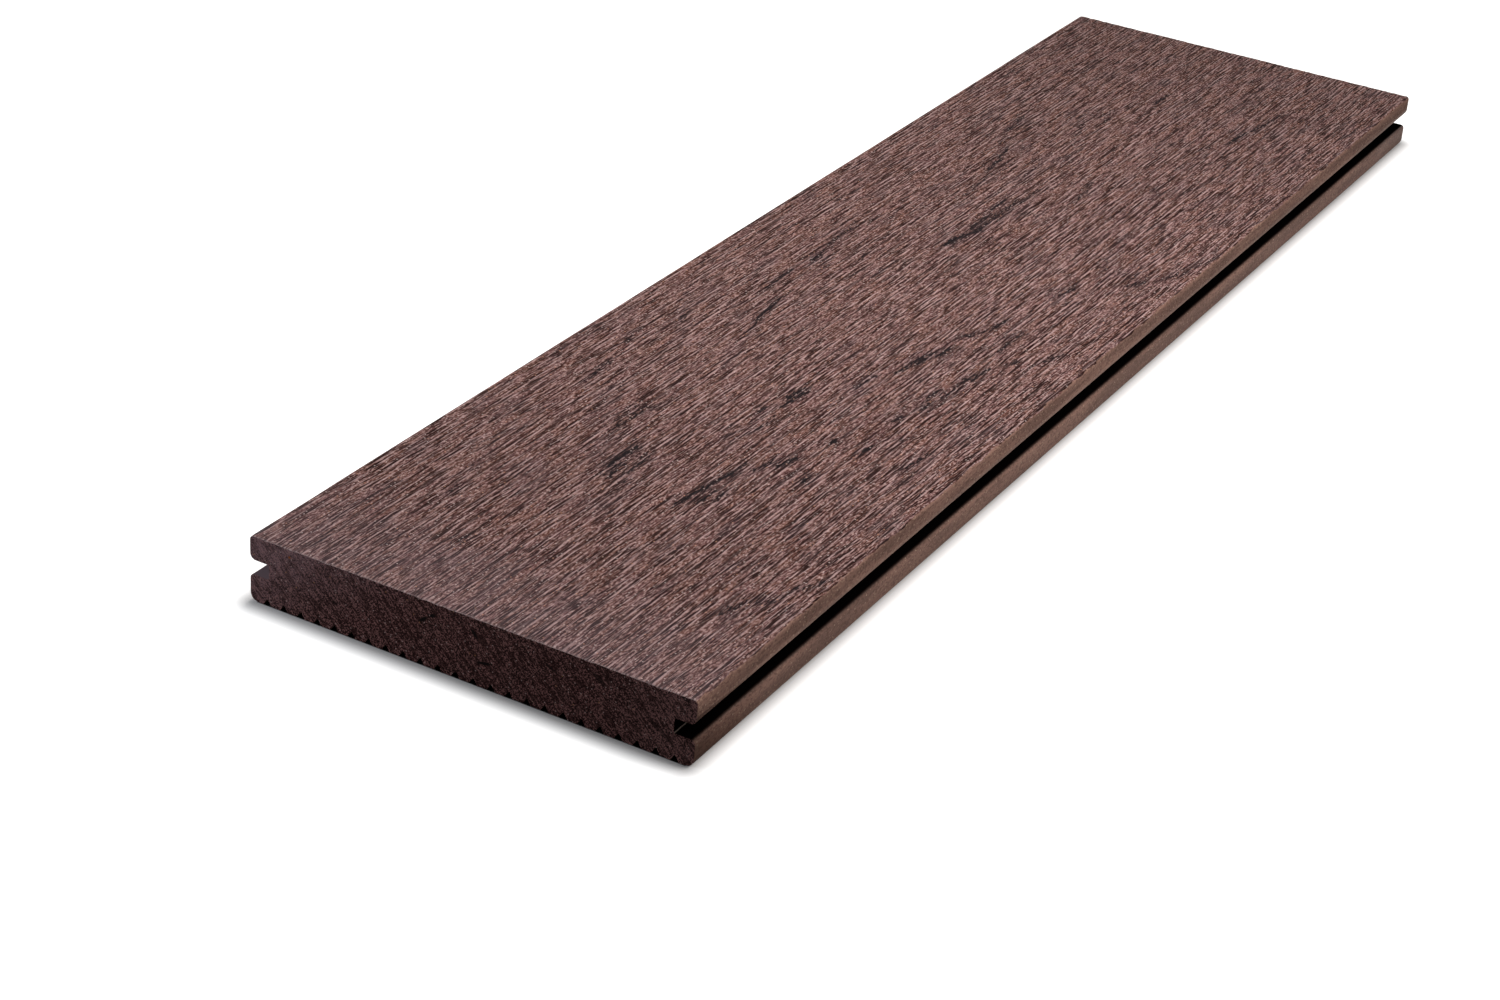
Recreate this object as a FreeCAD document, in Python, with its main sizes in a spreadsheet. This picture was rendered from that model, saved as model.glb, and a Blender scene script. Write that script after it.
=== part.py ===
# A decking board: one solid length of extruded wood-plastic composite, sawn square at both ends.
# It lies flat with its show face up. +X runs along its length, +Y across it and +Z up, and the
# origin is at the middle of its underside.
import FreeCAD, Part
import math
import os
import Sketcher

# The driving dimensions in millimetres, each with its name and what it measures
SIZES = (
    ("board_length", "535", "Length between the two sawn ends"),
    ("board_width", "140", "Width over the lips"),
    ("board_thickness", "20", "Height from the underside to the top face"),
    ("upper_lip", "7.3", "Thickness of the lip above a clip groove"),
    ("groove_height", "4.5", "Clear height of a clip groove"),
    ("groove_depth", "6.3", "Depth of a clip groove from the lips' faces"),
    ("top_edge_radius", "1.1", "Round on the long edges of the top face"),
    ("upper_mouth_radius", "1.8", "Round on the edge above a groove's mouth"),
    ("lower_mouth_radius", "1.3", "Round on the edge below a groove's mouth"),
    ("root_radius", "0.5", "Round in the two inner corners of a groove"),
    ("bottom_edge_radius", "2.5", "Round on the long edges of the underside"),
    ("vee_pitch", "5.6", "Spacing of the V-grooves in the underside"),
    ("vee_edge", "5", "Least distance from a side to the middle of a V-groove"),
    ("vee_width", "2.6", "Width of a V-groove at the underside"),
    ("vee_depth", "1.9", "Depth of a V-groove"),
    ("vee_apex_radius", "0.3", "Round at the bottom of a V-groove"),
)

# The section's lines, as distances from its middle and from the underside
LIP_FACE = "Sizes.board_width / 2"
GROOVE_ROOT = f"{LIP_FACE} - Sizes.groove_depth"
GROOVE_ROOF = "Sizes.board_thickness - Sizes.upper_lip"
GROOVE_FLOOR = f"{GROOVE_ROOF} - Sizes.groove_height"

# The underside takes as many V-grooves as fit between its edges, in a centred row
VEE_GAPS = "floor((Sizes.board_width - 2 * Sizes.vee_edge) / Sizes.vee_pitch)"

# A line's or an arc's points are numbered up from 1, and the sketch's own axes down from -1
START, END, CENTRE = range(1, 4)
LEVEL_AXIS, UPRIGHT_AXIS = range(-1, -3, -1)

OUT_OF_SKETCH = FreeCAD.Vector(0, 0, 1)


def fill_sheet(doc):
    """The sheet of driving dimensions, with one row for each."""
    sheet = doc.addObject("Spreadsheet::Sheet", "Sizes")
    for row, (alias, number, meaning) in enumerate(SIZES, start=1):
        sheet.set(f"A{row}", meaning)
        sheet.set(f"B{row}", number)
        sheet.setAlias(f"B{row}", alias)
    doc.recompute()


def section_sketch(body, name):
    """An empty sketch across the board: its x is the board's Y, and its y is the board's Z."""
    plane = next(item for item in body.Origin.OriginFeatures if item.Role == "YZ_Plane")
    sketch = body.newObject("Sketcher::SketchObject", name)
    sketch.AttachmentSupport = [(plane, "")]
    sketch.MapMode = "FlatFace"
    return sketch


def add_line(sketch, start, end):
    return sketch.addGeometry(Part.LineSegment(start, end), False)


def add_arc(sketch, centre, start, end):
    """An arc about the centre, anticlockwise from start to end."""
    first = start - centre
    last = end - centre
    first_angle = math.atan2(first.y, first.x)
    last_angle = math.atan2(last.y, last.x)
    if last_angle < first_angle:
        last_angle += 2 * math.pi
    circle = Part.Circle(centre, OUT_OF_SKETCH, first.Length)
    return sketch.addGeometry(Part.ArcOfCircle(circle, first_angle, last_angle), False)


def constrain(sketch, *terms):
    return sketch.addConstraint(Sketcher.Constraint(*terms))


def dimension(sketch, name, formula, *terms):
    """A constraint that measures something, bound to a formula of the sheet's sizes."""
    index = constrain(sketch, *terms, sketch.evalExpression(formula))
    sketch.renameConstraint(index, name)
    sketch.setExpression(f"Constraints.{name}", formula)


def rounded_outline(sketch, sides):
    """A closed outline of upright and level sides in turn, with a tangent arc at each corner.

    A side is its name, the sign and the formula of its place, and the radius at its end. The
    first side is upright, the outline runs anticlockwise, and corner i is where side i ends.
    """
    places = [sign * sketch.evalExpression(formula) for name, sign, formula, radius in sides]
    radii = [sketch.evalExpression(radius) for name, sign, formula, radius in sides]
    count = len(sides)
    corners = []
    for i in range(count):
        this_place = places[i]
        next_place = places[(i + 1) % count]
        upright = i % 2 == 0
        across, up = (this_place, next_place) if upright else (next_place, this_place)
        corners.append(FreeCAD.Vector(across, up, 0))
    steps = [(corners[i] - corners[i - 1]).normalize() for i in range(count)]

    lines = []
    arcs = []
    for i in range(count):
        next_step = steps[(i + 1) % count]
        line_start = corners[i - 1] + steps[i] * radii[i - 1]
        line_end = corners[i] - steps[i] * radii[i]
        arc_far_end = corners[i] + next_step * radii[i]
        centre = line_end + next_step * radii[i]
        turns_left = steps[i].cross(next_step).z > 0
        lines.append(add_line(sketch, line_start, line_end))
        if turns_left:
            arcs.append((add_arc(sketch, centre, line_end, arc_far_end), START, END))
        else:
            arcs.append((add_arc(sketch, centre, arc_far_end, line_end), END, START))

    for i, (name, sign, formula, radius) in enumerate(sides):
        line = lines[i]
        arc, arc_near, arc_far = arcs[i]
        upright = i % 2 == 0
        constrain(sketch, "Vertical" if upright else "Horizontal", line)
        constrain(sketch, "Tangent", line, END, arc, arc_near)
        constrain(sketch, "Tangent", arc, arc_far, lines[(i + 1) % count], START)
        dimension(sketch, f"{name}_round", radius, "Radius", arc)
        kind = "DistanceX" if upright else "DistanceY"
        if places[i] > 0:
            dimension(sketch, name, formula, kind, LEVEL_AXIS, START, line, START)
        elif places[i] < 0:
            dimension(sketch, name, formula, kind, line, START, LEVEL_AXIS, START)
        else:
            constrain(sketch, "PointOnObject", line, START, LEVEL_AXIS)


def board_section(sketch):
    """The section without its V-grooves: a slab with a rounded clip groove in each side."""
    rounded_outline(
        sketch,
        [
            ("right_lower_lip", 1, LIP_FACE, "Sizes.lower_mouth_radius"),
            ("right_groove_floor", 1, GROOVE_FLOOR, "Sizes.root_radius"),
            ("right_groove_root", 1, GROOVE_ROOT, "Sizes.root_radius"),
            ("right_groove_roof", 1, GROOVE_ROOF, "Sizes.upper_mouth_radius"),
            ("right_upper_lip", 1, LIP_FACE, "Sizes.top_edge_radius"),
            ("top_face", 1, "Sizes.board_thickness", "Sizes.top_edge_radius"),
            ("left_upper_lip", -1, LIP_FACE, "Sizes.upper_mouth_radius"),
            ("left_groove_roof", 1, GROOVE_ROOF, "Sizes.root_radius"),
            ("left_groove_root", -1, GROOVE_ROOT, "Sizes.root_radius"),
            ("left_groove_floor", 1, GROOVE_FLOOR, "Sizes.lower_mouth_radius"),
            ("left_lower_lip", -1, LIP_FACE, "Sizes.bottom_edge_radius"),
            ("underside", 1, "0", "Sizes.bottom_edge_radius"),
        ],
    )


def vee_section(sketch):
    """A V with a round apex, open below, that reaches as far under the board as into it."""
    half_width = sketch.evalExpression("Sizes.vee_width / 2")
    depth = sketch.evalExpression("Sizes.vee_depth")
    radius = sketch.evalExpression("Sizes.vee_apex_radius")
    centre_height = depth - radius
    # The flank from the mouth's edge touches the apex round where the radius is square to it
    to_centre = math.hypot(half_width, centre_height)
    lean = math.acos(radius / to_centre) - math.atan2(centre_height, half_width)
    touch_across = radius * math.cos(lean)
    touch_height = centre_height + radius * math.sin(lean)

    low_left = FreeCAD.Vector(-half_width, -depth, 0)
    low_right = FreeCAD.Vector(half_width, -depth, 0)
    mouth_right = FreeCAD.Vector(half_width, 0, 0)
    mouth_left = FreeCAD.Vector(-half_width, 0, 0)
    touch_right = FreeCAD.Vector(touch_across, touch_height, 0)
    touch_left = FreeCAD.Vector(-touch_across, touch_height, 0)
    base = add_line(sketch, low_left, low_right)
    right_leg = add_line(sketch, low_right, mouth_right)
    right_flank = add_line(sketch, mouth_right, touch_right)
    apex = add_arc(sketch, FreeCAD.Vector(0, centre_height, 0), touch_right, touch_left)
    left_flank = add_line(sketch, touch_left, mouth_left)
    left_leg = add_line(sketch, mouth_left, low_left)

    constrain(sketch, "Coincident", base, END, right_leg, START)
    constrain(sketch, "Coincident", right_leg, END, right_flank, START)
    constrain(sketch, "Tangent", right_flank, END, apex, START)
    constrain(sketch, "Tangent", apex, END, left_flank, START)
    constrain(sketch, "Coincident", left_flank, END, left_leg, START)
    constrain(sketch, "Coincident", left_leg, END, base, START)
    constrain(sketch, "Horizontal", base)
    constrain(sketch, "Vertical", right_leg)
    constrain(sketch, "Vertical", left_leg)
    constrain(sketch, "Symmetric", left_flank, END, right_flank, START, LEVEL_AXIS, START)
    constrain(sketch, "PointOnObject", apex, CENTRE, UPRIGHT_AXIS)
    constrain(sketch, "PointOnObject", right_flank, START, LEVEL_AXIS)
    dimension(sketch, "mouth", "Sizes.vee_width", "DistanceX", left_flank, END, right_flank, START)
    dimension(sketch, "apex_round", "Sizes.vee_apex_radius", "Radius", apex)
    dimension(
        sketch,
        "apex_centre",
        "Sizes.vee_depth - Sizes.vee_apex_radius",
        "DistanceY",
        LEVEL_AXIS,
        START,
        apex,
        CENTRE,
    )
    dimension(
        sketch, "reach_below", "Sizes.vee_depth", "DistanceY", base, START, LEVEL_AXIS, START
    )


def make_board(doc):
    """The board: its section extruded along X, then a row of V-grooves cut along the underside."""
    body = doc.addObject("PartDesign::Body", "Board")
    body.Label = "decking_board"

    outline = section_sketch(body, "BoardSection")
    board_section(outline)
    doc.recompute()
    extrusion = body.newObject("PartDesign::Pad", "Extrusion")
    extrusion.Profile = outline
    extrusion.SideType = "Symmetric"
    extrusion.setExpression("Length", "Sizes.board_length")
    doc.recompute()

    vee = section_sketch(body, "VeeSection")
    vee_section(vee)
    vee.setExpression(".AttachmentOffset.Base.x", f"{VEE_GAPS} * Sizes.vee_pitch / 2")
    doc.recompute()
    first_vee = body.newObject("PartDesign::Pocket", "OutermostVee")
    first_vee.Profile = vee
    first_vee.SideType = "Symmetric"
    first_vee.Type = "ThroughAll"
    doc.recompute()

    all_vees = body.newObject("PartDesign::LinearPattern", "Vees")
    all_vees.Originals = [first_vee]
    all_vees.Direction = (vee, ["H_Axis"])
    all_vees.Reversed = True
    all_vees.Mode = "Spacing"
    all_vees.setExpression("Offset", "Sizes.vee_pitch")
    all_vees.setExpression("Occurrences", f"{VEE_GAPS} + 1")
    body.Tip = all_vees
    doc.recompute()

    one_cut = extrusion.Shape.Volume - first_vee.Shape.Volume
    all_cuts = extrusion.Shape.Volume - all_vees.Shape.Volume
    if one_cut <= 0 or abs(all_cuts - all_vees.Occurrences * one_cut) > one_cut / 1000:
        raise RuntimeError("the V-grooves don't cut the underside as many times as they should")
    return body


def check_document(doc):
    """Stop where any object has failed, or holds no valid shape."""
    for item in doc.Objects:
        if "Invalid" in item.State or "Error" in item.State:
            raise RuntimeError(f"{item.Name} failed: {item.State}")
        if item.isDerivedFrom("PartDesign::Feature") or item.isDerivedFrom("PartDesign::Body"):
            if item.Shape.isNull() or not item.Shape.isValid():
                raise RuntimeError(f"{item.Name} has no valid shape")


def write_parts(bodies):
    os.makedirs("parts", exist_ok=True)
    for body in bodies:
        body.Shape.exportStep(f"parts/{body.Label}.step")
        box = body.Shape.BoundBox
        print(
            f"{body.Label}: {box.XLength:.1f} x {box.YLength:.1f} x {box.ZLength:.1f} mm, "
            f"{body.Shape.Volume / 1000:.1f} cubic centimetres"
        )


document = FreeCAD.newDocument("DeckingBoard")
fill_sheet(document)
board = make_board(document)
check_document(document)
write_parts([board])
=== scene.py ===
"""A short length of solid wood-plastic composite decking board, lying on a white studio floor.

The board is one closed surface: its section carried along X, with the brushed grain of the
show face cut into the crown of that section. Everything is in metres, in the frame's axes:
+X along the board, +Y across it, +Z up out of the brushed face.
"""

import math

import bpy
import numpy as np
from mathutils import Matrix, Vector


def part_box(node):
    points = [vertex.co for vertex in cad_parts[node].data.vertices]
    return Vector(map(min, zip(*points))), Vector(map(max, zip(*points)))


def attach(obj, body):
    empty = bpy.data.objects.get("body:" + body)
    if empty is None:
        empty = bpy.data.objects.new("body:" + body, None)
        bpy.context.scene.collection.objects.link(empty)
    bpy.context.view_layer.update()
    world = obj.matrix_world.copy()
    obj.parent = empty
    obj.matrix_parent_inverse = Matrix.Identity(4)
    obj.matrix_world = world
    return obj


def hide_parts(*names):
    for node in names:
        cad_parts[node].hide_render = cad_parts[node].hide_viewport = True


MM = 0.001

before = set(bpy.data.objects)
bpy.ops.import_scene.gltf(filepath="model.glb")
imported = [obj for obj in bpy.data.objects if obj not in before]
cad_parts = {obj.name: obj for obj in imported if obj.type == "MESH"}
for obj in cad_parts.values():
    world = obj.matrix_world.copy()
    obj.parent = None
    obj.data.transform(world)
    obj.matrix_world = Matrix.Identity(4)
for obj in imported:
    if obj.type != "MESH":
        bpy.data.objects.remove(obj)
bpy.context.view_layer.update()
LOW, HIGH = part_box("decking_board")
LENGTH = HIGH[0] - LOW[0]
WIDTH = HIGH[1] - LOW[1]
THICKNESS = HIGH[2] - LOW[2]

# The section's sizes that the frame's box doesn't give
UPPER_LIP = 7.3 * MM
GROOVE_HEIGHT = 4.5 * MM
GROOVE_DEPTH = 6.3 * MM
TOP_EDGE_RADIUS = 1.1 * MM
UPPER_MOUTH_RADIUS = 1.8 * MM
LOWER_MOUTH_RADIUS = 1.3 * MM
ROOT_RADIUS = 0.5 * MM
BOTTOM_EDGE_RADIUS = 2.5 * MM
VEE_PITCH = 5.6 * MM
VEE_EDGE = 5.0 * MM
VEE_WIDTH = 2.6 * MM
VEE_DEPTH = 1.9 * MM
VEE_APEX_RADIUS = 0.3 * MM
LAND_EDGE_RADIUS = 0.35 * MM

# How many straight steps stand for each arc of the section
TOP_EDGE_STEPS = 4
UPPER_MOUTH_STEPS = 5
LOWER_MOUTH_STEPS = 4
ROOT_STEPS = 3
BOTTOM_EDGE_STEPS = 6
VEE_APEX_STEPS = 3
LAND_EDGE_STEPS = 2

# The crown is the section from one upper lip over the brushed face to the other lip. Its grid
# is fine across the grain and coarse along it, and the rest of the section is coarser still.
STATION_COUNT = 168
ROW_COUNT = 500
LIP_STEPS = 2
COARSE_STEP = 12
LIP_BORDER = 0.6 * MM

# The worn sawn arris: how far in from the end its second station lies and its wear reaches, how
# deep it is worn, and its chips' length and width and the noise where they start and are full
ARRIS_STEP = 0.4 * MM
ARRIS_REACH = 1.0 * MM
ARRIS_WEAR = 0.22 * MM
ARRIS_CHIP = (1.0 * MM, 1.6 * MM)
CHIP_CUT = (-0.5, 2.5)

# The brushed grain, as long streaks, short streaks and a slow swell: the length and width of
# each, the noise where its cut starts and where it is full, and how deep that is
SEED = 11
GRAIN = (
    ((22 * MM, 0.6 * MM), (0.5, 2.4), 0.1 * MM),
    ((11 * MM, 0.5 * MM), (0.4, 2.4), 0.07 * MM),
    ((60 * MM, 5.0 * MM), (-2.2, 2.2), 0.02 * MM),
)
# A streak of noise is about this many times as long as the standard deviation of its blur
STREAK_SIGMAS = 2.5

# The finishes of the board's faces, numbered as its materials are
BRUSHED, EXTRUDED, SAWN, SUNKEN = range(4)

# The grey haze about a mineral streak reaches this much further to each side, in millimetres
STREAK_HAZE = 1.3
# Dark mineral streaks in the brushed face, as strokes from one point to another: x and y of both,
# half the width, all in millimetres, and the strength
STREAKS = (
    (-184, -12.4, -172, -13.8, 0.6, 1.1),
    (-170, -14.2, -160, -15.8, 0.6, 1.1),
    (-160, -16.0, -151, -15.8, 0.5, 0.8),
    (-181, -17.0, -171, -17.4, 0.5, 1.0),
    (-176, -20.5, -170, -20.2, 0.4, 0.9),
    (-176, 14.4, -169, 14.8, 0.4, 0.9),
    (-166, 14.4, -161, 14.2, 0.5, 1.2),
    (-182, 10.7, -178, 11.3, 0.5, 0.8),
    (-177, 12.6, -173, 12.0, 0.5, 0.7),
    (-176, 7.9, -164, 8.1, 0.5, 0.7),
    (-175, 11.4, -163, 11.0, 4.0, 0.3),
    (-194, 5.4, -180, 5.6, 0.4, 0.6),
    (-156, 25.4, -137, 24.8, 1.0, 0.6),
    (-150, 28.6, -139, 28.0, 0.7, 0.5),
    (-135, 49.0, -119, 50.2, 0.9, 0.7),
    (-216, 41.0, -210, 42.2, 0.5, 0.8),
    (-202, 44.0, -196, 44.6, 1.0, 0.5),
    (-262, 52.0, -254, 54.5, 1.0, 0.5),
    (-251, 38.8, -244, 38.2, 0.6, 0.6),
    (-239, 23.6, -232, 23.2, 0.6, 0.6),
    (-228, -53.0, -216, -55.5, 1.2, 0.6),
    (-217, -58.5, -212, -61.5, 0.6, 0.7),
    (-206, -62.0, -196, -67.5, 0.7, 0.8),
    (-83, 46.5, -76, 50.4, 0.9, 0.7),
    (-105, 53.8, -96, 55.2, 1.0, 0.5),
    (-76, 27.2, -66, 28.6, 0.6, 0.7),
    (-66, 29.8, -46, 31.6, 0.6, 1.1),
    (-122, -3.0, -115, -3.1, 0.6, 0.9),
    (-107, -5.4, -99, -5.8, 0.6, 1.2),
    (-114, -6.6, -98, -8.0, 0.4, 1.0),
    (-130, -8.0, -120, -8.2, 0.9, 0.5),
    (-153, -20.2, -144, -21.6, 0.6, 0.7),
    (-147, -24.2, -138, -26.2, 0.7, 1.1),
    (-125, -29.0, -122, -31.0, 0.7, 1.2),
    (-151, -34.4, -147, -34.8, 0.6, 1.1),
    (-125, -39.4, -120, -40.3, 0.6, 1.1),
    (-102, -37.8, -96, -38.2, 0.6, 1.0),
    (-90, -41.6, -85, -40.9, 0.7, 1.0),
    (-82, -38.8, -74, -39.4, 0.6, 1.0),
    (-79, -42.6, -60, -42.4, 0.8, 0.7),
    (-62, -44.4, -52, -45.0, 0.7, 0.8),
    (-111, -45.4, -105, -47.0, 0.5, 0.7),
    (-89, -18.0, -78, -19.2, 0.6, 0.7),
    (-72, -23.4, -57, -24.6, 0.7, 0.9),
    (-62, -25.8, -50, -26.2, 0.5, 0.9),
    (-54, -28.5, -45, -28.8, 0.5, 1.2),
    (-129, -54.0, -114, -55.8, 0.7, 0.7),
    (-88, -54.0, -83, -56.0, 0.9, 0.6),
    (-43, 39.2, -26, 39.6, 0.6, 0.9),
    (-14, 38.0, -10, 38.0, 0.7, 1.2),
    (-8, 38.6, 4, 40.2, 0.6, 0.6),
    (4, 40.4, 19, 40.4, 0.5, 0.9),
    (-6, 25.8, 4, 26.2, 0.7, 0.6),
    (26, 8.8, 33, 8.0, 0.7, 1.3),
    (34, 7.6, 42, 5.2, 0.9, 1.1),
    (43, 8.2, 58, 8.0, 0.7, 1.0),
    (44, 5.6, 75, 5.8, 0.7, 0.7),
    (62, 9.6, 74, 9.8, 0.6, 1.0),
    (74, 4.2, 88, 4.5, 0.4, 0.8),
    (-38, -27.4, -28, -32.2, 0.8, 0.9),
    (-25, -33.0, -15, -34.0, 0.6, 1.0),
    (-39, -42.0, -20, -42.0, 0.6, 0.7),
    (-45, -48.4, -41, -50.4, 0.7, 1.1),
    (-37, -56.4, -29, -59.0, 0.8, 0.7),
    (11, -39.4, 21, -41.0, 0.6, 0.8),
    (32, -54.0, 39, -57.0, 1.1, 0.7),
    (46, -62.4, 54, -64.0, 0.6, 0.8),
    (68, 22.4, 92, 24.0, 0.5, 0.6),
    (93, 26.4, 105, 27.6, 0.7, 1.1),
    (108, 28.2, 117, 30.0, 0.6, 0.9),
    (115, 34.0, 127, 34.6, 0.5, 0.6),
    (132, 37.4, 152, 39.6, 0.6, 0.7),
    (88, -10.6, 108, -8.0, 0.6, 0.7),
    (138, 12.0, 160, 19.6, 0.5, 0.4),
    (195, 5.5, 207, 5.4, 0.6, 1.1),
    (166, 13.4, 178, 15.0, 0.6, 0.5),
    (174, -32.5, 188, -33.4, 0.6, 1.0),
    (190, -34.4, 216, -37.8, 0.6, 0.7),
    (161, -27.0, 168, -29.0, 0.7, 0.7),
)


def section_arc(centre_y, centre_z, radius, first, last, steps):
    """Points of an arc: centre + radius * (cos a, sin a), with a from first to last degrees."""
    angle = np.radians(np.linspace(first, last, steps + 1))
    return np.column_stack([centre_y + radius * np.cos(angle), centre_z + radius * np.sin(angle)])


def crown_section():
    """The crown's points from the lip at +Y to the lip at -Y, and which way is out at each.

    Both are (y, z). The lips are straight, the edges are quarter arcs, centre + radius *
    (cos a, sin a), and the face is flat. Out is sideways on the lips, (cos a, sin a) on the
    arcs, and up on the face.
    """
    half = WIDTH / 2
    border = THICKNESS - UPPER_LIP + UPPER_MOUTH_RADIUS + LIP_BORDER
    arc_foot = THICKNESS - TOP_EDGE_RADIUS
    lip_z = np.linspace(border, arc_foot, LIP_STEPS + 1)[:-1]
    arc_angle = np.radians(np.linspace(0, 90, TOP_EDGE_STEPS + 1))[:-1]
    face_y = np.linspace(half - TOP_EDGE_RADIUS, TOP_EDGE_RADIUS - half, ROW_COUNT + 1)
    arc_y = half - TOP_EDGE_RADIUS + TOP_EDGE_RADIUS * np.cos(arc_angle)
    arc_z = arc_foot + TOP_EDGE_RADIUS * np.sin(arc_angle)
    side_y = np.concatenate([np.full(LIP_STEPS, half), arc_y])
    side_z = np.concatenate([lip_z, arc_z])
    side_out_y = np.concatenate([np.ones(LIP_STEPS), np.cos(arc_angle)])
    side_out_z = np.concatenate([np.zeros(LIP_STEPS), np.sin(arc_angle)])
    y = np.concatenate([side_y, face_y, -side_y[::-1]])
    z = np.concatenate([side_z, np.full(ROW_COUNT + 1, THICKNESS), side_z[::-1]])
    out_y = np.concatenate([side_out_y, np.zeros(ROW_COUNT + 1), -side_out_y[::-1]])
    out_z = np.concatenate([side_out_z, np.ones(ROW_COUNT + 1), side_out_z[::-1]])
    return np.column_stack([y, z]), np.column_stack([out_y, out_z])


def half_groove(side):
    """One side of the section below the crown, from the upper lip's face down to the underside.

    Five arcs joined by straight runs, at +Y where side is 1, and mirrored where it is -1.
    """
    half = WIDTH / 2
    roof = THICKNESS - UPPER_LIP
    floor = roof - GROOVE_HEIGHT
    inner_y = half - GROOVE_DEPTH + ROOT_RADIUS
    # The centre's y and z, the radius, the first and last angle and the steps of each arc
    arcs = (
        (half - UPPER_MOUTH_RADIUS, roof + UPPER_MOUTH_RADIUS, UPPER_MOUTH_RADIUS, 0, -90,
         UPPER_MOUTH_STEPS),
        (inner_y, roof - ROOT_RADIUS, ROOT_RADIUS, 90, 180, ROOT_STEPS),
        (inner_y, floor + ROOT_RADIUS, ROOT_RADIUS, 180, 270, ROOT_STEPS),
        (half - LOWER_MOUTH_RADIUS, floor - LOWER_MOUTH_RADIUS, LOWER_MOUTH_RADIUS, 90, 0,
         LOWER_MOUTH_STEPS),
        (half - BOTTOM_EDGE_RADIUS, BOTTOM_EDGE_RADIUS, BOTTOM_EDGE_RADIUS, 0, -90,
         BOTTOM_EDGE_STEPS),
    )
    return np.vstack([section_arc(*arc) for arc in arcs]) * (side, 1)


def vee_row():
    """The underside's V-grooves from -Y to +Y, as (y, z).

    Each V is an apex arc between two flanks, which leave it at the angle where they touch it.
    A small arc rounds each land where a flank meets the underside.
    """
    half = VEE_WIDTH / 2
    centre = VEE_DEPTH - VEE_APEX_RADIUS
    lean = math.acos(VEE_APEX_RADIUS / math.hypot(half, centre)) - math.atan2(centre, half)
    lean_degrees = math.degrees(lean)
    apex = section_arc(
        0, centre, VEE_APEX_RADIUS, 180 - lean_degrees, lean_degrees, VEE_APEX_STEPS
    )
    setback = LAND_EDGE_RADIUS * math.tan((math.pi / 2 - lean) / 2)
    land_edge = section_arc(
        -half - setback, LAND_EDGE_RADIUS, LAND_EDGE_RADIUS, -90, -lean_degrees, LAND_EDGE_STEPS
    )
    vee = np.vstack([land_edge, apex, land_edge[::-1] * (-1, 1)])
    gaps = math.floor((WIDTH - 2 * VEE_EDGE) / VEE_PITCH)
    places = (np.arange(gaps + 1) - gaps / 2) * VEE_PITCH
    shift = np.column_stack([places, np.zeros_like(places)])
    return (vee[None, :, :] + shift[:, None, :]).reshape(-1, 2)


def smoothstep(low, high, value):
    """0 below low, 1 above high, and 3 t^2 - 2 t^3 between them."""
    t = np.clip((value - low) / (high - low), 0, 1)
    return t * t * (3 - 2 * t)


def streaks(random, shape, spacing, size):
    """White noise blurred by a Gaussian as long and as wide as size, with a spread of 1.

    The blur is a product of the noise's spectrum and exp(-(k * sigma)^2 / 2) in each direction.
    """
    noise = random.standard_normal(shape)
    turns_x = np.fft.fftfreq(shape[0], spacing[0])[:, None]
    turns_y = np.fft.rfftfreq(shape[1], spacing[1])[None, :]
    sigma_x, sigma_y = (extent / STREAK_SIGMAS for extent in size)
    falloff = np.exp(-2 * (math.pi * turns_x * sigma_x) ** 2 - 2 * (math.pi * turns_y * sigma_y) ** 2)
    field = np.fft.irfft2(np.fft.rfft2(noise) * falloff, s=shape)
    return field / field.std()


def streak_strength(x, y, spread):
    """How dark the mineral streaks are: the sum of strength * exp(-(distance / half width)^2).

    The distance is taken from each stroke's straight line between its two points, and the
    spread, in millimetres, is added to each half width.
    """
    total = np.zeros(np.broadcast(x, y).shape)
    for start_x, start_y, end_x, end_y, half_width, strength in STREAKS:
        run_x = end_x - start_x
        run_y = end_y - start_y
        from_x = x / MM - start_x
        from_y = y / MM - start_y
        along = np.clip((from_x * run_x + from_y * run_y) / (run_x ** 2 + run_y ** 2), 0, 1)
        distance = np.hypot(from_x - along * run_x, from_y - along * run_y)
        total += strength * np.exp(-(distance / (half_width + spread)) ** 2)
    return total


def painted_groove_shade(points):
    """How deep in a groove each point lies, 0 on the lips and lands and 1 well inside a groove: where
    the grooves get painted shade.

    In a clip groove it is the smoothstep of the distance in from the lip's face, from 0.1 mm to
    1 mm, for points between the groove's mouths. In a V-groove it is that of the height above
    the underside, from 0 to 0.4 of the groove's depth.
    """
    y, z = np.abs(points[..., 1]), points[..., 2]
    top = THICKNESS - UPPER_LIP + UPPER_MOUTH_RADIUS
    bottom = THICKNESS - UPPER_LIP - GROOVE_HEIGHT - LOWER_MOUTH_RADIUS
    clip = (z > bottom) * (z < top) * smoothstep(0.1 * MM, 1.0 * MM, WIDTH / 2 - y)
    in_vees = (z <= VEE_DEPTH) * (y < WIDTH / 2 - BOTTOM_EDGE_RADIUS)
    return clip + in_vees * smoothstep(0, 0.4 * VEE_DEPTH, z)


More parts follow.
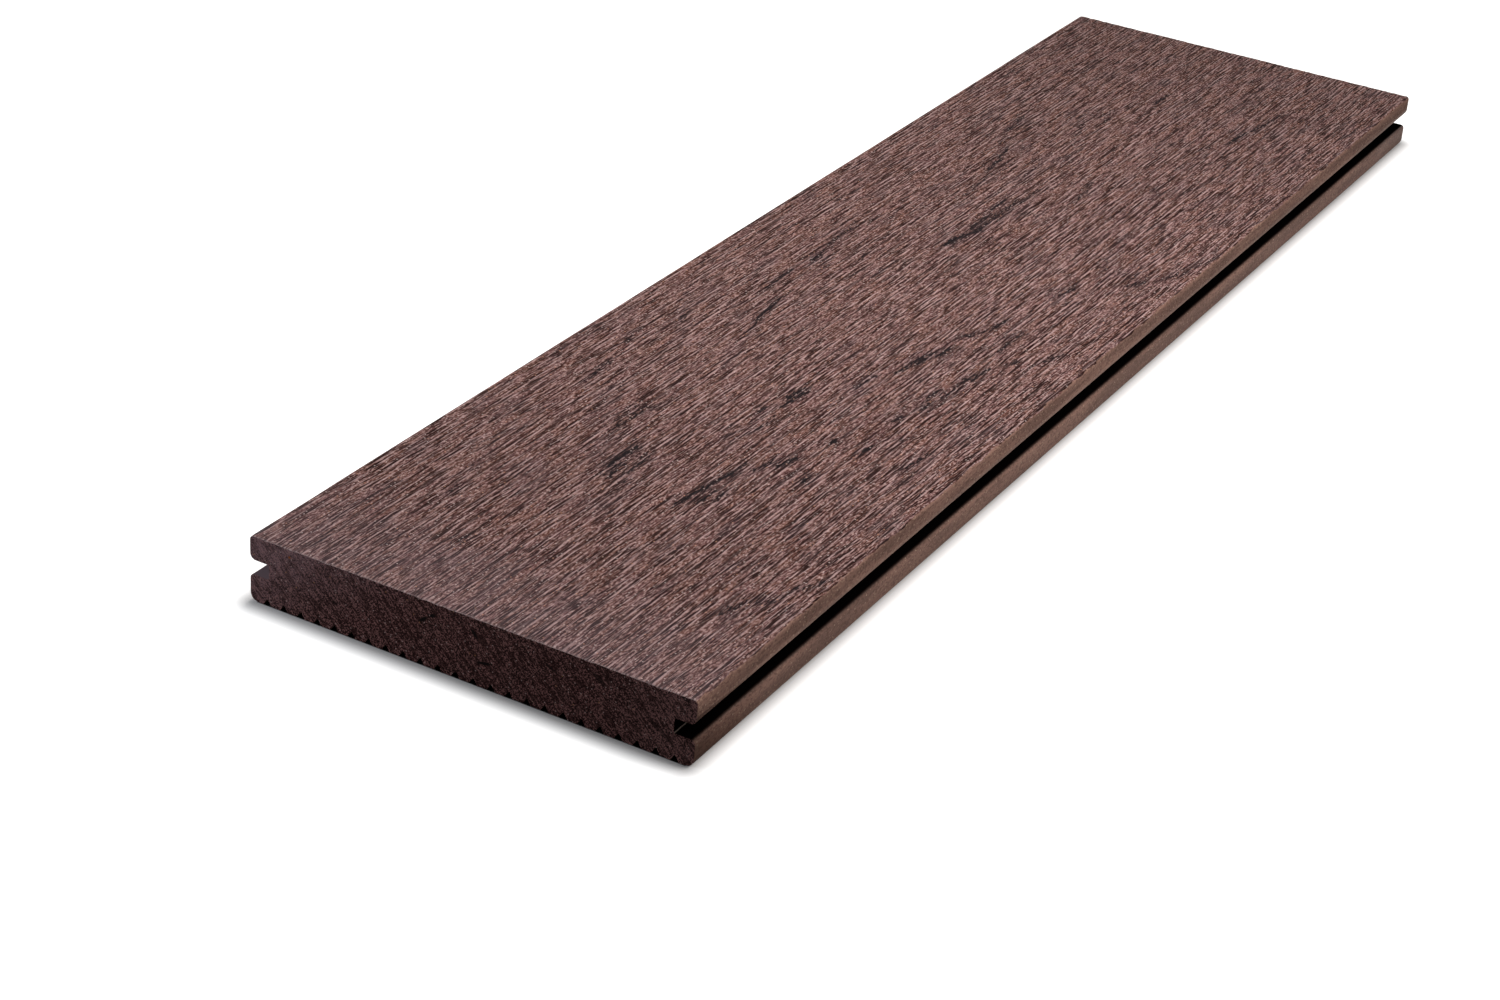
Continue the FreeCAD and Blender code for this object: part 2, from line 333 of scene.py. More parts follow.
def brushed_relief(x, flatness):
    """The grain, the nearness to a sawn arris, and the depth that both cut, at each crown point.

    The grain is the sum of depth * smoothstep(noise) over GRAIN. The nearness is
    (1 - distance from the end / ARRIS_REACH)^2, and the wear there is ARRIS_WEAR * (0.5 + chips).
    Both fade out as flatness^1.5, where flatness is the upward part of the outward direction.
    """
    shape = (len(x), len(flatness))
    spacing = (LENGTH / STATION_COUNT, (WIDTH - 2 * TOP_EDGE_RADIUS) / ROW_COUNT)
    random = np.random.default_rng(SEED)
    grain = sum(
        deep * smoothstep(*cut, streaks(random, shape, spacing, size)) for size, cut, deep in GRAIN
    )
    chips = smoothstep(*CHIP_CUT, streaks(random, shape, spacing, ARRIS_CHIP))
    to_end = np.minimum(x - x[0], x[-1] - x)[:, None]
    arris = np.clip(1 - to_end / ARRIS_REACH, 0, 1) ** 2
    depth = (grain + ARRIS_WEAR * arris * (0.5 + chips)) * flatness ** 1.5
    return grain, arris, depth


def quads(ids):
    """The faces of a grid of vertex numbers, [station, row], turned to face outwards."""
    corners = [ids[:-1, :-1], ids[:-1, 1:], ids[1:, 1:], ids[1:, :-1]]
    return np.stack(corners, axis=-1).reshape(-1, 4)


def board_faces(crown_ids, under_ids, depths):
    """The faces of the closed surface, as lists of vertex numbers, and the finish of each.

    They are the crown's grid and the coarser one below it, a strip of faces along each side
    that joins COARSE_STEP steps of the crown to one of the other, and a face for each sawn end.
    """
    crown_faces = quads(crown_ids)
    under_faces = quads(under_ids)
    first = COARSE_STEP * np.arange(len(under_ids) - 1)[:, None]
    joined = first + np.arange(COARSE_STEP + 1)[None, :]
    left_strip = np.column_stack([under_ids[:-1, 0], under_ids[1:, 0], crown_ids[joined, -1][:, ::-1]])
    right_strip = np.column_stack([under_ids[1:, -1], under_ids[:-1, -1], crown_ids[joined, 0]])
    near_end = np.concatenate([crown_ids[0], under_ids[0]])[::-1]
    far_end = np.concatenate([crown_ids[-1], under_ids[-1]])
    faces = crown_faces.tolist() + under_faces.tolist() + left_strip.tolist()
    faces += right_strip.tolist() + [near_end.tolist(), far_end.tolist()]

    # A face is sunken where both of its rows lie more than halfway into a groove
    sunken = np.minimum(depths[:-1, :-1], depths[:-1, 1:]) > 0.5
    finish = np.concatenate([
        np.full(len(crown_faces), BRUSHED),
        np.where(sunken.ravel(), SUNKEN, EXTRUDED),
        np.full(len(left_strip) + len(right_strip), EXTRUDED),
        np.full(2, SAWN),
    ])
    return faces, finish.astype(np.int32)


def board_mesh():
    """The closed surface: position = section point - depth * outward direction, along X.

    The depth is the brushed grain on the crown, worn down at the two sawn arrises.
    """
    crown, outward = crown_section()
    under = np.vstack([half_groove(-1), vee_row(), half_groove(1)[::-1]])
    inner = np.linspace(LOW[0] + ARRIS_REACH, HIGH[0] - ARRIS_REACH, STATION_COUNT - 3)
    x = np.concatenate([
        [LOW[0], LOW[0] + ARRIS_STEP], inner, [HIGH[0] - ARRIS_STEP, HIGH[0]]
    ])
    shape = (len(x), len(crown))
    grain, arris, depth = brushed_relief(x, outward[:, 1])

    crown_points = np.empty(shape + (3,))
    crown_points[..., 0] = x[:, None]
    crown_points[..., 1] = crown[:, 0] - depth * outward[:, 0]
    crown_points[..., 2] = crown[:, 1] - depth * outward[:, 1]
    coarse_x = x[::COARSE_STEP]
    under_points = np.empty((len(coarse_x), len(under), 3))
    under_points[..., 0] = coarse_x[:, None]
    under_points[..., 1:] = under
    depths = painted_groove_shade(under_points)

    crown_ids = np.arange(depth.size).reshape(shape)
    under_ids = depth.size + np.arange(depths.size).reshape(depths.shape)
    faces, finish = board_faces(crown_ids, under_ids, depths)
    mesh = bpy.data.meshes.new("decking_board_dressed")
    mesh.from_pydata(np.vstack([crown_points.reshape(-1, 3), under_points.reshape(-1, 3)]), [], faces)
    mesh.polygons.foreach_set("material_index", finish)
    mesh.polygons.foreach_set("use_smooth", finish != SAWN)

    deepest = sum(deep for size, cut, deep in GRAIN)
    across = crown[:, 0][None, :]
    crown_fields = {
        "grain": grain / deepest,
        "streak": streak_strength(x[:, None], across, 0.0),
        "haze": streak_strength(x[:, None], across, STREAK_HAZE),
        "arris": arris * np.ones(shape),
        "painted_groove_shade": np.zeros(shape),
    }
    for name, values in crown_fields.items():
        below = depths if name == "painted_groove_shade" else np.zeros(depths.shape)
        attribute = mesh.attributes.new(name, "FLOAT", "POINT")
        attribute.data.foreach_set(
            "value", np.concatenate([values.ravel(), below.ravel()]).astype(np.float32)
        )
    mesh.validate()
    mesh.update()
    return mesh


def colour(hex_code):
    """An sRGB hex value as linear red, green, blue and alpha."""
    parts = [int(hex_code[i:i + 2], 16) / 255 for i in (1, 3, 5)]
    return [p / 12.92 if p <= 0.04045 else ((p + 0.055) / 1.055) ** 2.4 for p in parts] + [1.0]


def add(tree, kind, inputs=(), **settings):
    """Add a node with its settings and links, and give its outputs.

    The inputs are a list in the order of the node's sockets, or a dictionary by their names or
    numbers. Each is a value, a hex colour, or the output of a node that it is linked to.
    """
    made = tree.nodes.new("ShaderNode" + kind)
    for name, value in settings.items():
        setattr(made, name, value)
    for socket, value in inputs.items() if isinstance(inputs, dict) else enumerate(inputs):
        if isinstance(value, bpy.types.NodeSocket):
            tree.links.new(value, made.inputs[socket])
        else:
            made.inputs[socket].default_value = colour(value) if isinstance(value, str) else value
    return made.outputs


def new_material(name):
    """An empty material and its node tree."""
    material = bpy.data.materials.new(name)
    material.use_nodes = True
    material.node_tree.nodes.clear()
    return material, material.node_tree


def cover(tree, *shares):
    """The product of shares, such as those that say how much of a face a coat of colour covers.

    A share is a number, an output, or (value, low, high, start, end): that goes smoothly from
    start where the value is low to end where it is high, or from 0 to 1 if they are left out.
    """
    product = None
    for share in shares:
        if isinstance(share, tuple):
            share = add(tree, "MapRange", share, interpolation_type="SMOOTHSTEP")[0]
        if product is None:
            product = share
        else:
            product = add(tree, "Math", [product, share], operation="MULTIPLY")[0]
    return product


def painted(tree, base, coats):
    """The base colour with coats laid over it in turn, each given by its colour and its shares."""
    for coat, *shares in coats:
        base = add(tree, "Mix", {0: cover(tree, *shares), 6: base, 7: coat}, data_type="RGBA")[2]
    return base


# How strongly each finer octave of a noise shows
NOISE_ROUGHNESS = 0.55
# A size so large that a pattern doesn't change through the board's thickness
ALL_THROUGH = 1.0


def grain_noise(tree, place, size, turn=0, detail=2.0, offset=(0.0, 0.0, 0.0)):
    """Noise whose features have the given size along X, Y and Z, turned about X by some degrees."""
    turned = add(tree, "Mapping", {"Vector": place, "Rotation": (math.radians(turn), 0, 0)})[0]
    scale = [1 / extent for extent in size]
    sized = add(tree, "Mapping", {"Vector": turned, "Scale": scale, "Location": offset})[0]
    inputs = {"Vector": sized, "Scale": 1.0, "Detail": detail, "Roughness": NOISE_ROUGHNESS}
    return add(tree, "TexNoise", inputs)[0]


def flecks(tree, place, cell, radius, share):
    """Round flecks on a face seen along Z, and a number between 0 and 1 for each one.

    A cell of the pattern has one where its own random number is under the share. A fleck is 1
    within half its radius and fades to 0 at its edge.
    """
    cells = add(tree, "TexVoronoi", {"Vector": place, "Scale": 1 / cell}, voronoi_dimensions="2D")
    chance = add(tree, "SeparateColor", [cells["Color"]])
    chosen = add(tree, "Math", [chance[0], share], operation="LESS_THAN")[0]
    edge = radius / cell
    return cover(tree, chosen, (cells["Distance"], 0.5 * edge, edge, 1.0, 0.0)), chance[1]


def mark(tree, place, middle, size, turn):
    """A mark in the shape of an ellipsoid: 1 within half of it, fading to 0 just outside it.

    Its middle and its three half axes are in millimetres, and it is turned about X by the
    given degrees.
    """
    inputs = {
        "Vector": place,
        "Location": [part * MM for part in middle],
        "Rotation": (math.radians(turn), 0, 0),
        "Scale": [part * MM for part in size],
    }
    moved = add(tree, "Mapping", inputs, vector_type="TEXTURE")[0]
    distance = add(tree, "VectorMath", [moved], operation="LENGTH")["Value"]
    return cover(tree, (distance, 0.5, 1.1, 1.0, 0.0))


def strokes(tree, place, cell, half_width, share, offset):
    """Thin strokes along X, one about the point of each cell: 1 in its middle, 0 outside it.

    The strength falls with |x - point x| and |y - point y|. Each stroke has its own chance to
    be there, its own half width, 0.5 to 1.5 times the one given, and its own half length, 0.25
    to 0.6 of the cell's length. A cell is long and wide as given.
    """
    inputs = {"Vector": place, "Scale": (1 / cell[0], 1 / cell[1], 1), "Location": offset}
    sized = add(tree, "Mapping", inputs)[0]
    inputs = {"Vector": sized, "Scale": 1.0, "Randomness": 0.6}
    cells = add(tree, "TexVoronoi", inputs, voronoi_dimensions="2D")
    away = add(tree, "VectorMath", [sized, cells["Position"]], operation="SUBTRACT")[0]
    off = add(tree, "SeparateXYZ", [away])
    chance = add(tree, "SeparateColor", [cells["Color"]])
    width = half_width / cell[1]
    own_width = add(tree, "Math", [chance[1], width, 0.5 * width], operation="MULTIPLY_ADD")[0]
    own_length = add(tree, "Math", [chance[2], 0.35, 0.25], operation="MULTIPLY_ADD")[0]
    falls = []
    for axis, reach, full in (("Y", own_width, 0.4), ("X", own_length, 0.5)):
        distance = add(tree, "Math", [off[axis]], operation="ABSOLUTE")[0]
        core = add(tree, "Math", [reach, full], operation="MULTIPLY")[0]
        falls.append((distance, core, reach, 1.0, 0.0))
    return cover(tree, *falls, (chance[0], 1 - share, 1.4 - share))


def finish_surface(tree, surface, roughness, gloss, height, relief):
    """The material's output: its colour, roughness and gloss, with a bump as deep as the relief."""
    bump = add(tree, "Bump", {"Height": height, "Distance": relief, "Strength": 1.0})[0]
    inputs = {
        "Base Color": surface,
        "Roughness": roughness,
        "Specular IOR Level": gloss,
        "Normal": bump,
    }
    shader = add(tree, "BsdfPrincipled", inputs)[0]
    add(tree, "OutputMaterial", {"Surface": shader})


def skin_colour(tree, place):
    """The colour of the extruded skin: plain brown, faintly clouded along the length.

    Fine dark mottle and pale specks of wood flour show in it, and a few larger pale flecks.
    """
    cloud = grain_noise(tree, place, (40 * MM, 8 * MM, 4 * MM))
    mottle = grain_noise(tree, place, (1.2 * MM, 0.6 * MM, 0.6 * MM), detail=3.0)
    flour = grain_noise(tree, place, (0.9 * MM, 0.6 * MM, 0.6 * MM), offset=(5, 5, 5))
    axes = add(tree, "SeparateXYZ", [place])
    height = add(tree, "Math", [axes["Y"], axes["Z"]], operation="ADD")[0]
    sheet = add(tree, "CombineXYZ", {"X": axes["X"], "Y": height})[0]
    fleck = flecks(tree, sheet, 3.0 * MM, 0.32 * MM, 0.3)[0]
    return painted(tree, "#856559", [
        ("#a67f70", (cloud, 0.35, 0.65)),
        ("#4f3b33", (mottle, 0.46, 0.64, 0.0, 0.5)),
        ("#c7a28c", (flour, 0.6, 0.7, 0.0, 0.65)),
        ("#d8b9a0", fleck, 0.75),
    ])


# The brush's strokes: the length and width of the cell that holds each, half a stroke's width,
# the share of the cells that have one, and where the first cell starts
RAISED_STROKES = ((13 * MM, 1.5 * MM), 0.36 * MM, 0.95, (0.7, 0.85, 0))
TORN_STROKES = (
    ((13 * MM, 1.5 * MM), 0.36 * MM, 0.95, (0.7, 0.4, 0)),
    ((5 * MM, 0.9 * MM), 0.28 * MM, 0.9, (0.2, 0.9, 0)),
    ((26 * MM, 2.8 * MM), 0.4 * MM, 0.8, (0.5, 0.6, 0)),
)
# The strokes of one row lie this many times further along than those of the row beside it
ROW_SLIDE = 5.3
# The strokes wander sideways by this much times a noise between 0 and 1
STROKE_SWAY = 1.5 * MM
# Saw dust and a painted bluish sheen lie on the face this far in from the near end, and thin out
DUST_AND_SHEEN_REACH = 50 * MM
# The brush stops within this much times a noise of the board's top corner
RAGGED_REACH = 4 * MM


def brushed_composite():
    """Wood-plastic composite, brushed along the length.

    The brush opens the skin into pale raised wood fibres and dark torn grooves between them,
    so the eye sees a dry, matt, streaky face, greyer than the skin and paler than the core.
    The grooves' dark colour is partly the torn fibres' own and partly painted shade.
    The fibres of real wood flour are finer, and are drawn as wide as they need to show.
    """
    material, tree = new_material("wood_plastic_composite_brushed")
    place = add(tree, "TexCoord")["Object"]
    axes = add(tree, "SeparateXYZ", [place])
    grain, streak, haze, arris = (
        add(tree, "Attribute", attribute_name=name)["Fac"]
        for name in ("grain", "streak", "haze", "arris")
    )

    # The face's own tones, from broad patches to single fibres and the grit between them
    warmth = grain_noise(tree, place, (16 * MM, 4 * MM, ALL_THROUGH), detail=3.0, offset=(5, 2, 0))
    fibre = grain_noise(tree, place, (14 * MM, 0.65 * MM, ALL_THROUGH), detail=1.0, offset=(4, 9, 0))
    grit = grain_noise(tree, place, (1.4 * MM, 0.55 * MM, ALL_THROUGH), detail=1.0, offset=(8, 3, 0))

    # The brush leaves thin pale fibres standing, and thin dark grooves torn out beside them; they and
    # the sunk grain are darkened partly by their own torn fibre and partly by painted shade
    wander = grain_noise(tree, place, (30 * MM, 10 * MM, ALL_THROUGH), offset=(6, 6, 0))
    sway = add(tree, "Math", [wander, STROKE_SWAY], operation="MULTIPLY")[0]
    slide = add(tree, "Math", [axes["Y"], ROW_SLIDE], operation="MULTIPLY")[0]
    shift = add(tree, "CombineXYZ", {"X": slide, "Y": sway})[0]
    swayed = add(tree, "VectorMath", [place, shift], operation="ADD")[0]
    raised = strokes(tree, swayed, *RAISED_STROKES)
    torn = 0.0
    for kind in TORN_STROKES:
        torn = add(tree, "Math", [strokes(tree, swayed, *kind), torn], operation="MAXIMUM")[0]
    hold = grain_noise(tree, place, (16 * MM, 5 * MM, ALL_THROUGH), detail=1.0, offset=(3, 7, 0))
    torn = cover(tree, torn, (hold, 0.36, 0.56, 0.75, 0.98))
    sunk_dark_and_shade = cover(tree, (grain, 0.2, 0.8, 0.0, 0.15))
    torn_dark_and_shade = add(tree, "Math", [torn, sunk_dark_and_shade], operation="MAXIMUM")[0]

    # Grey-blue clouds and the mineral streaks are both broken up into specks
    cloud = grain_noise(tree, place, (26 * MM, 9 * MM, ALL_THROUGH), detail=3.0, offset=(1, 4, 0))
    breaks = grain_noise(tree, place, (2.2 * MM, 0.45 * MM, ALL_THROUGH), detail=3.0, offset=(9, 1, 0))
    capped = add(tree, "Math", [streak, 0.8], operation="MINIMUM")[0]
    stained = add(tree, "Math", [capped, 0.22, breaks], operation="MULTIPLY_ADD")[0]
    stained = add(tree, "Math", [haze, 0.08, stained], operation="MULTIPLY_ADD")[0]

    fleck, kind = flecks(tree, place, 1.7 * MM, 0.3 * MM, 0.26)
    fleck_colour = painted(tree, "#e9cfc9", [("#dea184", (kind, 0.75, 0.95))])
    face = painted(tree, "#815c5a", [
        ("#875e54", (warmth, 0.4, 0.6)),
        ("#4a2a24", (fibre, 0.38, 0.5, 0.4, 0.0)),
        ("#a8837e", (fibre, 0.5, 0.62, 0.0, 0.4)),
        ("#3e1f18", (grit, 0.36, 0.5, 0.72, 0.0)),
        ("#c9a69f", (grit, 0.5, 0.64, 0.0, 0.72)),
        ("#cdaaa7", raised, 0.68),
        # Partly painted shade: the torn grooves and the sunk grain, darker also by their own torn
        # fibre
        ("#240f0b", torn_dark_and_shade),
        ("#564b50", (cloud, 0.5, 0.64), (breaks, 0.35, 0.56, 0.4), 0.2),
        ("#3a3034", haze, (breaks, 0.35, 0.6, 0.12, 0.5)),
        ("#120c0f", (stained, 0.61, 0.69, 0.0, 0.92)),
        (fleck_colour, fleck, 0.8),
        # The frayed arris, and beside it the saw's dust with a painted bluish sheen
        ("#b59c99", arris, (grit, 0.4, 0.56, 0.2, 0.9)),
        ("#a08a90", (axes["X"], LOW[0] + DUST_AND_SHEEN_REACH, LOW[0], 0.0, 0.14)),
    ])

    # The brush stops raggedly where the edge turns down, and the extruded skin is left beyond
    ragged = grain_noise(tree, place, (7 * MM, 1.5 * MM, 1.5 * MM), detail=4.0, offset=(2, 2, 2))
    from_middle = add(tree, "Math", [axes["Y"]], operation="ABSOLUTE")[0]
    from_side = add(tree, "Math", [WIDTH / 2, from_middle], operation="SUBTRACT")[0]
    above_corner = add(tree, "Math", [axes["Z"], THICKNESS], operation="SUBTRACT")[0]
    inwards = add(tree, "Math", [from_side, above_corner], operation="ADD")[0]
    edge = add(tree, "Math", [ragged, RAGGED_REACH, inwards], operation="MULTIPLY_ADD")[0]
    top = cover(tree, (edge, 1.9 * MM, 2.2 * MM))
    surface = painted(tree, skin_colour(tree, place), [(face, top)])

    standing = add(tree, "Math", [raised, 0.4], operation="MULTIPLY")[0]
    height = add(tree, "Math", [standing, torn], operation="SUBTRACT")[0]
    finish_surface(tree, surface, 0.7, 0.05, cover(tree, height, top), 0.25 * MM)
    return material


# The inner lower corner of the clip groove at -Y, along which a thin pale line is drawn: its
# place and its half axes, in millimetres
ROOT_LINE = (0, (GROOVE_DEPTH - WIDTH / 2) / MM, (THICKNESS - UPPER_LIP - GROOVE_HEIGHT) / MM)
ROOT_LINE_SIZE = (1000, 0.35, 0.35)


def extruded_composite(name, gloss):
    """Wood-plastic composite as it leaves the die: smooth, plain brown, and matt.

    Outside it has a faint satin gloss, and the lower lip is painted a little darker and browner low
    down, as painted shade. In the grooves, where no brush or cloth reaches, it has none, and painted
    shade darkens them: the groove at -Y is nearly black, but for a thin pale line along its root, and
    the one at +Y and the V-grooves there are dark grey, painted shade lightened by painted reflected
    light.
    """
    material, tree = new_material(name)
    place = add(tree, "TexCoord")["Object"]
    axes = add(tree, "SeparateXYZ", [place])
    deep = add(tree, "Attribute", attribute_name="painted_groove_shade")["Fac"]
    # Painted shade in the grooves: nearly black at -Y, and at +Y a greyer tone that stands in for
    # reflected light
    inside = painted(tree, "#050303", [("#6a585b", (axes["Y"], -1 * MM, 1 * MM))])
    surface = painted(tree, skin_colour(tree, place), [
        # Painted shade: the lower lip darker and browner low down, towards the floor
        ("#462006", (axes["Z"], 9 * MM, 4 * MM, 0.0, 0.3)),
        (inside, deep),
        ("#ecd4c2", mark(tree, place, ROOT_LINE, ROOT_LINE_SIZE, 0)),
    ])
    lines = grain_noise(tree, place, (40 * MM, 0.5 * MM, 0.5 * MM), detail=3.0)
    finish_surface(tree, surface, 0.6, gloss, lines, 0.05 * MM)
    return material


# Dark cracks and drag marks on the near end: y and z of the middle, half length and half width,
# all in millimetres, the turn from Y in degrees, and the strength
END_MARKS = (
    (13.3, 14.0, 2.2, 0.65, -38, 1.0),
    (10.4, 16.0, 1.5, 0.65, -20, 1.0),
    (-2.9, 15.3, 2.1, 0.65, 52, 1.0),
    (-6.0, 7.5, 3.3, 0.6, -11, 1.0),
    (-41.2, 15.6, 3.4, 0.9, 36, 0.8),
    (-60.0, 7.2, 6.6, 0.9, 36, 0.5),
    (-26.6, 13.6, 3.4, 0.5, 28, 0.8),
    (-66.8, 19.2, 2.0, 0.6, 15, 0.7),
    (42.0, 8.8, 0.9, 0.8, 0, 0.8),
)
# A small bare chip there: y and z of its middle, and half its length and width, in millimetres
END_CHIP = (56.8, 17.5, 0.5, 0.45)
# How far into the board a mark on its end goes, in millimetres
MARK_DEPTH = 20
# The patterns of a sawn end change over this much of the board's length
ALONG_CORE = 100 * MM


def sawn_composite():
    """Wood-plastic composite sawn across: the dark dry core, with saw scratches and pale fibres.

    It is painted paler towards the upper corner at +Y, as painted light, and a little paler again at
    -Y, and dark between them; towards that corner it is also smoothest. The wood flour is drawn about
    as coarse as the coarsest real grains, so that it shows.
    """
    material, tree = new_material("wood_plastic_composite_sawn")
    place = add(tree, "TexCoord")["Object"]
    axes = add(tree, "SeparateXYZ", [place])
    corner = add(tree, "Math", [axes["Z"], 1.6, axes["Y"]], operation="MULTIPLY_ADD")[0]
    cloud = grain_noise(tree, place, (ALONG_CORE, 7 * MM, 4 * MM), turn=30, detail=3.0)
    flour = grain_noise(tree, place, (ALONG_CORE, 0.42 * MM, 0.34 * MM), detail=1.0, offset=(0, 3, 3))
    scratch = grain_noise(tree, place, (ALONG_CORE, 5 * MM, 0.55 * MM), turn=-46, detail=1.0)
    coarse = cover(tree, (corner, 50 * MM, 92 * MM, 1.0, 0.6))

    marks = 0.0
    for y, z, half_length, half_width, turn, strength in END_MARKS:
        size = (MARK_DEPTH, half_length, half_width)
        found = cover(tree, mark(tree, place, (LOW[0] / MM, y, z), size, turn), strength)
        marks = add(tree, "Math", [found, marks], operation="MAXIMUM")[0]
    chip = mark(tree, place, (LOW[0] / MM, *END_CHIP[:2]), (MARK_DEPTH, *END_CHIP[2:]), 0)

    face = add(tree, "CombineXYZ", {"X": axes["Y"], "Y": axes["Z"]})[0]
    fleck, kind = flecks(tree, face, 1.8 * MM, 0.24 * MM, 0.3)
    fleck_colour = painted(tree, "#b99a94", [("#a9774f", (kind, 0.88, 0.96))])
    surface = painted(tree, "#533130", [
        # Painted light: paler towards the upper corner at +Y; then a little paler towards -Y
        ("#8b6a6c", (corner, 38 * MM, 92 * MM)),
        ("#7f5a57", (axes["Y"], -36 * MM, -70 * MM)),
        ("#2f1e1d", (cloud, 0.45, 0.66, 0.0, 0.5)),
        ("#8e655f", coarse, (flour, 0.5, 0.6, 0.0, 0.85)),
        ("#150807", coarse, (flour, 0.4, 0.5, 1.0, 0.0)),
        ("#1d0c0b", coarse, (scratch, 0.48, 0.6, 0.0, 0.75)),
        ("#040202", marks, (flour, 0.35, 0.5, 0.9, 1.0)),
        ("#8a4a22", chip),
        (fleck_colour, fleck, 0.75),
    ])
    rough = add(tree, "Math", [flour, scratch], operation="SUBTRACT")[0]
    finish_surface(tree, surface, 0.8, 0.03, rough, 0.12 * MM)
    return material


def make_board():
    """The one piece, which stands for the CAD board, with a material for each finish."""
    board = bpy.data.objects.new("decking_board_dressed", board_mesh())
    bpy.context.scene.collection.objects.link(board)
    # In the order of the finishes' numbers
    board.data.materials.append(brushed_composite())
    board.data.materials.append(extruded_composite("wood_plastic_composite_extruded", 0.1))
    board.data.materials.append(sawn_composite())
    board.data.materials.append(extruded_composite("wood_plastic_composite_dull", 0.0))
    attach(board, "root")
    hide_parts("decking_board")


# The camera stands where the photograph's did. Its focal length is in the photograph's pixels
CAMERA_PLACE = Vector((-0.8219, -0.3748, 0.4218))
CAMERA_FORWARD = Vector((0.77586, 0.41222, -0.47762))
CAMERA_RIGHT = Vector((0.50008, -0.86337, 0.06719))
IMAGE_WIDTH = 1500
FOCAL_PIXELS = 3010.7
SENSOR_WIDTH = 36.0


def make_camera():
    """The camera, turned so that it looks forward with its right side as given."""
    camera = bpy.data.objects.new("camera", bpy.data.cameras.new("camera"))
    camera.data.sensor_width = SENSOR_WIDTH
    camera.data.lens = FOCAL_PIXELS / IMAGE_WIDTH * SENSOR_WIDTH
    back = -CAMERA_FORWARD.normalized()
    right = CAMERA_RIGHT.normalized()
    up = back.cross(right)
    turn = Matrix((right, up, back)).transposed().to_4x4()
    camera.matrix_world = Matrix.Translation(CAMERA_PLACE) @ turn
    bpy.context.scene.collection.objects.link(camera)
    bpy.context.scene.camera = camera


FLOOR_SIZE = 8.0
# The floor glows white beyond this distance from the board, and under the board, out to the contact
# line, it is painted nearly black as a contact shadow
FLOOR_GLOW = 0.9
GLOW_REACH = 9 * MM
PAINTED_CONTACT_SHADOW = 0.5 * MM


def seen_directly(tree):
    """1 for what the camera sees, by itself, in a gloss or through something clear, and else 0."""
    path = add(tree, "LightPath")
    mirrored = [path["Is Glossy Ray"], path["Is Transmission Ray"]]
    mirrored = add(tree, "Math", mirrored, operation="MAXIMUM")[0]
    return add(tree, "Math", [path["Is Camera Ray"], mirrored], operation="MAXIMUM")[0]


def away_from_board(tree):
    """The distance of the floor's points from where the board stands on it, 0 under the board."""
    place = add(tree, "TexCoord")["Object"]
    axes = add(tree, "SeparateXYZ", [place])
    past = []
    for axis, half in (("X", LENGTH / 2), ("Y", WIDTH / 2 - BOTTOM_EDGE_RADIUS)):
        reach = add(tree, "Math", [axes[axis]], operation="ABSOLUTE")[0]
        beyond = add(tree, "Math", [reach, half], operation="SUBTRACT")[0]
        past.append(add(tree, "Math", [beyond, 0.0], operation="MAXIMUM")[0])
    square = add(tree, "Math", [past[0], past[0]], operation="MULTIPLY")[0]
    squares = add(tree, "Math", [past[1], past[1], square], operation="MULTIPLY_ADD")[0]
    return add(tree, "Math", [squares], operation="SQRT")[0]


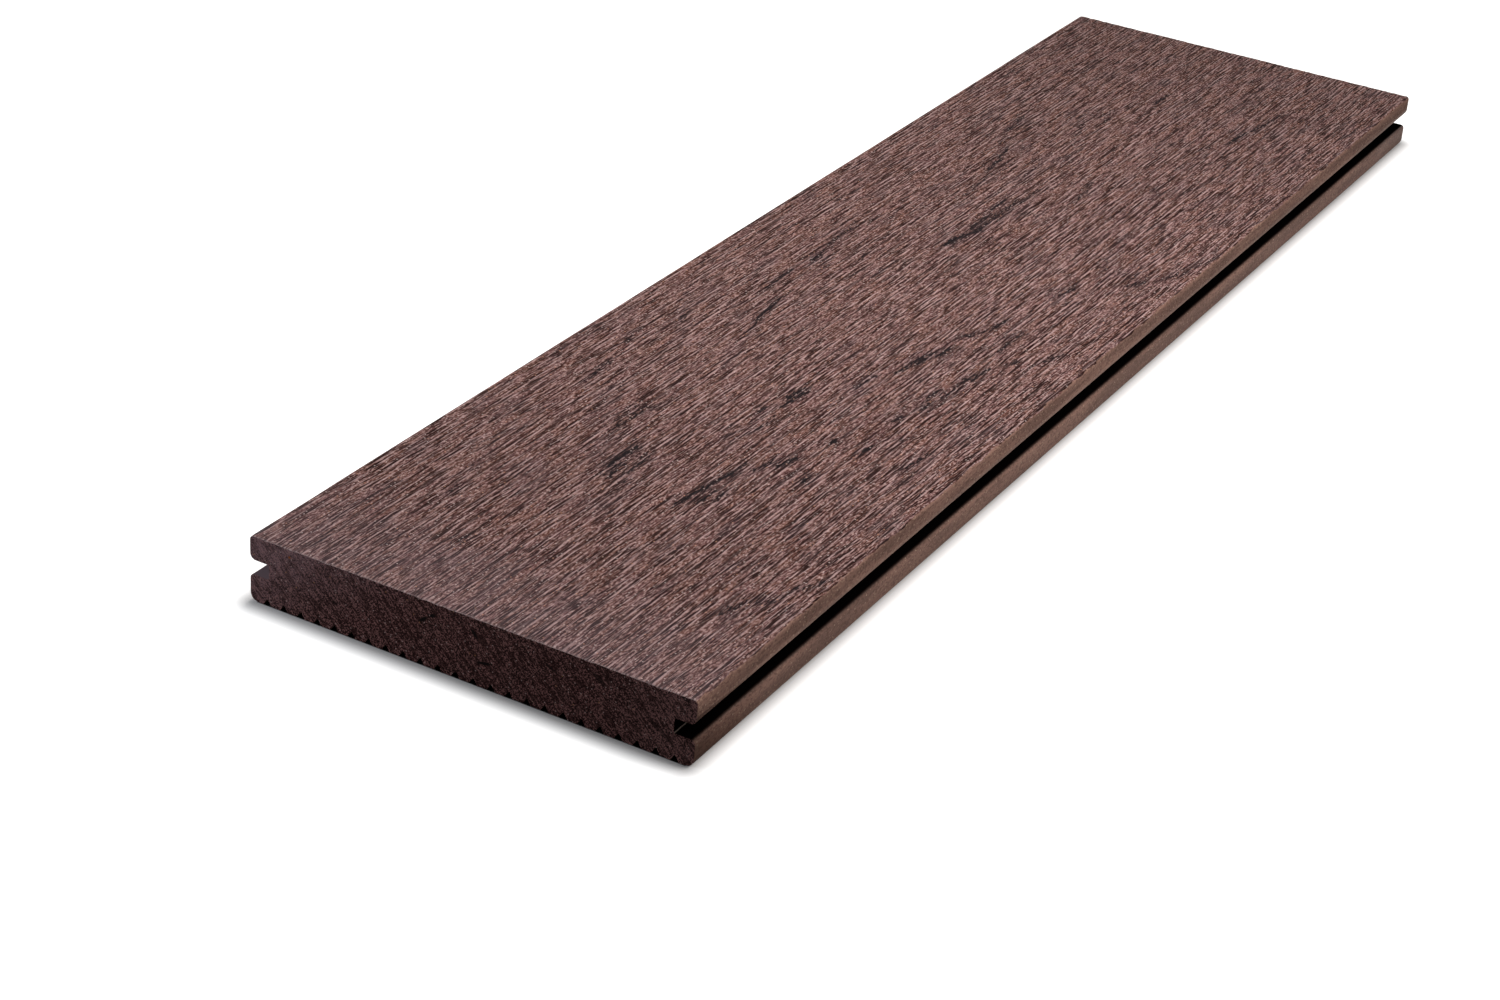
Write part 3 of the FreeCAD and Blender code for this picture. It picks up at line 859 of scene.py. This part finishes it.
def make_floor():
    """A white floor. Its glow makes up the white away from the board, and never lights it."""
    half = FLOOR_SIZE / 2
    corners = [(-half, -half, 0), (half, -half, 0), (half, half, 0), (-half, half, 0)]
    mesh = bpy.data.meshes.new("floor")
    mesh.from_pydata(corners, [], [(0, 1, 2, 3)])
    floor = bpy.data.objects.new("floor", mesh)
    bpy.context.scene.collection.objects.link(floor)
    material, tree = new_material("studio_floor")
    seen = seen_directly(tree)
    distance = away_from_board(tree)
    # Grey for the light that it throws back, and white where it is seen
    white = painted(tree, "#444444", [("#f0ece9", seen)])
    # Painted shadow: the floor is nearly black under the board and within the contact line
    shaded = painted(tree, "#080606", [(white, (distance, 0.0, PAINTED_CONTACT_SHADOW))])
    paint = add(tree, "BsdfDiffuse", {"Color": shaded})[0]
    strength = cover(tree, seen, (distance, 0.0, GLOW_REACH, 0.0, FLOOR_GLOW))
    glow = add(tree, "Emission", {"Color": "#ffffff", "Strength": strength})[0]
    both = add(tree, "AddShader", [paint, glow])[0]
    add(tree, "OutputMaterial", {"Surface": both})
    mesh.materials.append(material)


# How bright the white surround is for the light that it gives
WORLD_LIGHT = 0.1


def make_world():
    """A white surround, at a low strength for what it lights."""
    world = bpy.data.worlds.new("studio")
    world.use_nodes = True
    tree = world.node_tree
    tree.nodes.clear()
    seen = seen_directly(tree)
    strength = add(tree, "Math", [seen, 1 - WORLD_LIGHT, WORLD_LIGHT], operation="MULTIPLY_ADD")[0]
    surround = add(tree, "Background", {"Color": "#ffffff", "Strength": strength})[0]
    add(tree, "OutputWorld", {"Surface": surround})
    bpy.context.scene.world = world


# The soft boxes: name, place, the point that each is turned to, length and width, power and tint
LIGHTS = (
    ("top_box", (0.01, 0.03, 0.46), (0.01, 0, 0), (0.3, 0.3), 1.15, (1.0, 0.975, 0.935)),
    ("side_box", (-0.03, -0.34, 0.36), (-0.01, 0, 0), (0.35, 0.2), 1.2, (1.0, 0.995, 1.0)),
    ("front_card", (-0.5, 0.32, 0.12), (-0.26, 0.05, 0), (0.15, 0.1), 0.75, (0.8, 0.9, 1.0)),
)


def make_light(name, place, aim, size, power, tint):
    """A soft box at the place, turned to the aim."""
    lamp = bpy.data.lights.new(name, "AREA")
    lamp.color = tint
    lamp.shape = "RECTANGLE"
    lamp.size, lamp.size_y = size
    lamp.energy = power
    light = bpy.data.objects.new(name, lamp)
    light.location = place
    light.rotation_euler = (Vector(aim) - Vector(place)).to_track_quat("-Z", "Y").to_euler()
    bpy.context.scene.collection.objects.link(light)


make_camera()
make_board()
make_floor()
make_world()
for soft_box in LIGHTS:
    make_light(*soft_box)

bpy.context.scene.view_settings.view_transform = "Standard"
